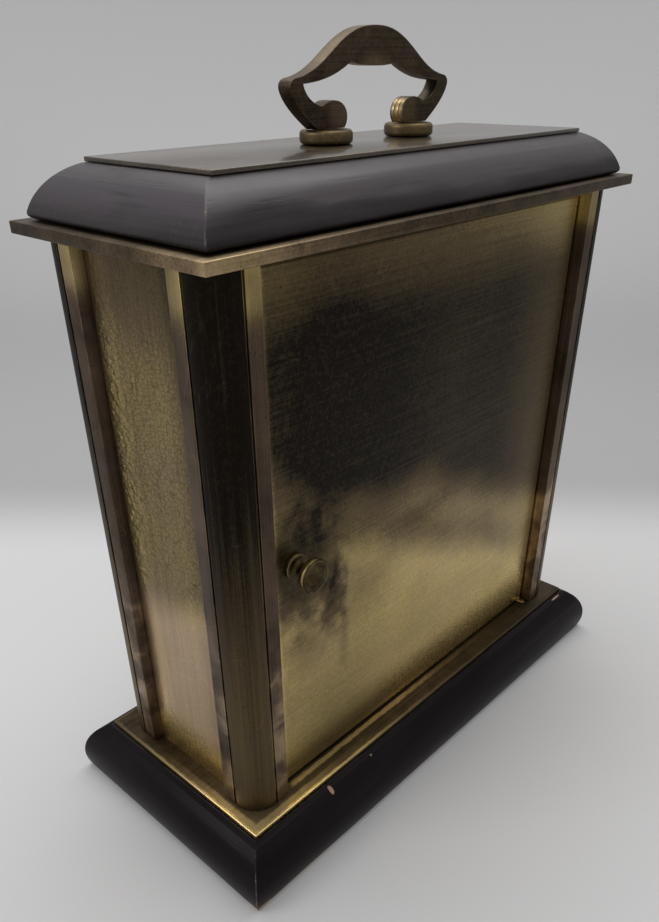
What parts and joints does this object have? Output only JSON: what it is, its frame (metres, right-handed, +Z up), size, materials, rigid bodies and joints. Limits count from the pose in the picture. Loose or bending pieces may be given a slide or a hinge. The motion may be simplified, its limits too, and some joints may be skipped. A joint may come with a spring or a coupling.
{
  "type": "bracket clock",
  "caption": "Spring-driven bracket clock: glazed front door, brass case on a wood plinth, hinged rear door, wheel train, anchor escapement, pendulum and fixed carrying handle.",
  "frame": {"origin": "middle of the underside, on the surface that the clock stands on", "axes": "+Z up, dial and front door towards -Y, rear door towards +Y, +X to the right seen from the front"},
  "size_m": [0.247, 0.1138, 0.2777],
  "materials": {
    "aged_brass": "brushed, tarnished to brown",
    "blued_steel": "blued steel",
    "bright_brass": "polished",
    "dark_brass": "dark patina, gold at the worn edges",
    "ebonised_wood": "satin ebonised, worn at the arrises",
    "glass": "clear",
    "silvered": "silvered, circular grain",
    "steel": "polished steel"
  },
  "bodies": {
    "case": {"wood_plinth": "ebonised_wood", "base_plate": "aged_brass", "corner_post_front_left": "dark_brass", "corner_post_front_right": "dark_brass", "corner_post_rear_left": "dark_brass", "corner_post_rear_right": "dark_brass", "side_panel_left": "aged_brass", "side_panel_right": "aged_brass", "cornice_plate": "aged_brass", "wood_cap": "ebonised_wood", "top_plate": "dark_brass", "carry_handle": "dark_brass", "handle_collar_left": "dark_brass", "handle_collar_right": "dark_brass", "handle_bolt_left": "steel", "handle_bolt_right": "steel", "front_pivot_lower": "bright_brass", "front_pivot_upper": "bright_brass", "rear_pivot_lower": "bright_brass", "rear_pivot_upper": "bright_brass", "dial_plate": "bright_brass", "chapter_ring": "silvered", "front_movement_plate": "bright_brass", "back_movement_plate": "bright_brass", "lower_pillar_left": "bright_brass", "lower_pillar_right": "bright_brass", "upper_pillar_left": "bright_brass", "upper_pillar_right": "bright_brass", "movement_post_left": "steel", "movement_post_right": "steel", "click_screw": "steel", "click_spring": "steel", "pendulum_cock": "bright_brass"},
    "rear_door": {"rear_door": "aged_brass"},
    "rear_knob": {"rear_door_knob": "bright_brass", "rear_door_latch": "aged_brass"},
    "front_door": {"front_door_frame": "aged_brass", "front_door_glass": "glass"},
    "front_knob": {"front_door_knob": "bright_brass", "front_door_latch": "aged_brass"},
    "centre_arbor": {"centre_wheel": "bright_brass", "cannon_pinion": "steel", "minute_hand": "blued_steel", "hand_nut": "bright_brass"},
    "second_arbor": {"second_wheel": "bright_brass"},
    "barrel": {"going_barrel": "bright_brass"},
    "third_arbor": {"third_wheel": "bright_brass"},
    "escape_arbor": {"escape_wheel": "bright_brass"},
    "minute_wheel_stud": {"minute_wheel": "bright_brass"},
    "hour_pipe": {"hour_wheel": "bright_brass", "hour_hand": "blued_steel"},
    "winding_arbor": {"winding_arbor": "steel", "ratchet_wheel": "steel"},
    "click": {"click": "steel"},
    "pendulum": {"suspension_spring": "steel", "pendulum_rod": "steel"},
    "bob": {"pendulum_bob": "bright_brass"},
    "rating_nut": {"rating_nut": "bright_brass"},
    "pallet_arbor": {"pallet_anchor": "steel", "crutch": "steel"}
  },
  "joints": [
    {"name": "rear_door_hinge", "type": "hinge", "parent": "case", "child": "rear_door", "pos_m": [-0.0869, 0.0346, 0.12525], "axis": [0, 0, 1], "range_deg": [0, 100]},
    {"name": "rear_knob_turn", "type": "hinge", "parent": "rear_door", "child": "rear_knob", "pos_m": [0.078, 0.0346, 0.1246], "axis": [0, 1, 0], "range_deg": [-90, 0]},
    {"name": "front_door_hinge", "type": "hinge", "parent": "case", "child": "front_door", "pos_m": [-0.0869, -0.0346, 0.12525], "axis": [0, 0, 1], "range_deg": [-100, 0]},
    {"name": "front_knob_turn", "type": "hinge", "parent": "front_door", "child": "front_knob", "pos_m": [0.0835, -0.0346, 0.1246], "axis": [0, 1, 0], "range_deg": [-90, 0]},
    {"name": "minute_turn", "type": "hinge", "parent": "case", "child": "centre_arbor", "pos_m": [0, 0, 0.125], "axis": [0, 1, 0], "continuous": true},
    {"name": "second_wheel_turn", "type": "hinge", "parent": "case", "child": "second_arbor", "pos_m": [0.0161, 0, 0.1072], "axis": [0, 1, 0], "continuous": true},
    {"name": "barrel_turn", "type": "hinge", "parent": "case", "child": "barrel", "pos_m": [0, 0, 0.075], "axis": [0, 1, 0], "continuous": true},
    {"name": "third_wheel_turn", "type": "hinge", "parent": "case", "child": "third_arbor", "pos_m": [-0.01177, 0, 0.14523], "axis": [0, 1, 0], "continuous": true},
    {"name": "escape_wheel_turn", "type": "hinge", "parent": "case", "child": "escape_arbor", "pos_m": [0, 0, 0.1611], "axis": [0, 1, 0], "continuous": true},
    {"name": "minute_wheel_turn", "type": "hinge", "parent": "case", "child": "minute_wheel_stud", "pos_m": [0.01559, 0, 0.134], "axis": [0, 1, 0], "continuous": true},
    {"name": "hour_turn", "type": "hinge", "parent": "case", "child": "hour_pipe", "pos_m": [0, 0, 0.125], "axis": [0, 1, 0], "continuous": true},
    {"name": "winding_turn", "type": "hinge", "parent": "case", "child": "winding_arbor", "pos_m": [0, 0, 0.075], "axis": [0, 1, 0], "continuous": true},
    {"name": "click_lift", "type": "hinge", "parent": "case", "child": "click", "pos_m": [0.018, -0.0211, 0.086], "axis": [0, 1, 0], "range_deg": [0, 10], "stiffness_Nm_per_rad": 0.002, "springref_deg": -11.46},
    {"name": "pendulum_swing", "type": "hinge", "parent": "case", "child": "pendulum", "pos_m": [0, 0.021, 0.18], "axis": [0, 1, 0], "range_deg": [-3, 3]},
    {"name": "bob_slide", "type": "slide", "parent": "pendulum", "child": "bob", "axis": [0, 0, 1], "range_m": [-0.0015, 0.0015]},
    {"name": "rating_nut_turn", "type": "hinge", "parent": "bob", "child": "rating_nut", "pos_m": [0, 0.021, 0.0353], "axis": [0, 0, 1], "range_deg": [-1085, 1085]},
    {"name": "pallet_swing", "type": "hinge", "parent": "case", "child": "pallet_arbor", "pos_m": [0, 0, 0.18], "axis": [0, 1, 0], "range_deg": [-3.1, 3.1]}
  ],
  "couplings": [
    {"joint": "second_wheel_turn", "follows": "minute_turn", "ratio": -0.25},
    {"joint": "barrel_turn", "follows": "minute_turn", "ratio": 0.03125},
    {"joint": "third_wheel_turn", "follows": "minute_turn", "ratio": -12},
    {"joint": "escape_wheel_turn", "follows": "minute_turn", "ratio": 140},
    {"joint": "minute_wheel_turn", "follows": "minute_turn", "ratio": -0.33333},
    {"joint": "hour_turn", "follows": "minute_turn", "ratio": 0.083333},
    {"joint": "pallet_swing", "follows": "pendulum_swing", "ratio": 1},
    {"joint": "rating_nut_turn", "follows": "bob_slide", "rad_per_m": 12566}
  ]
}
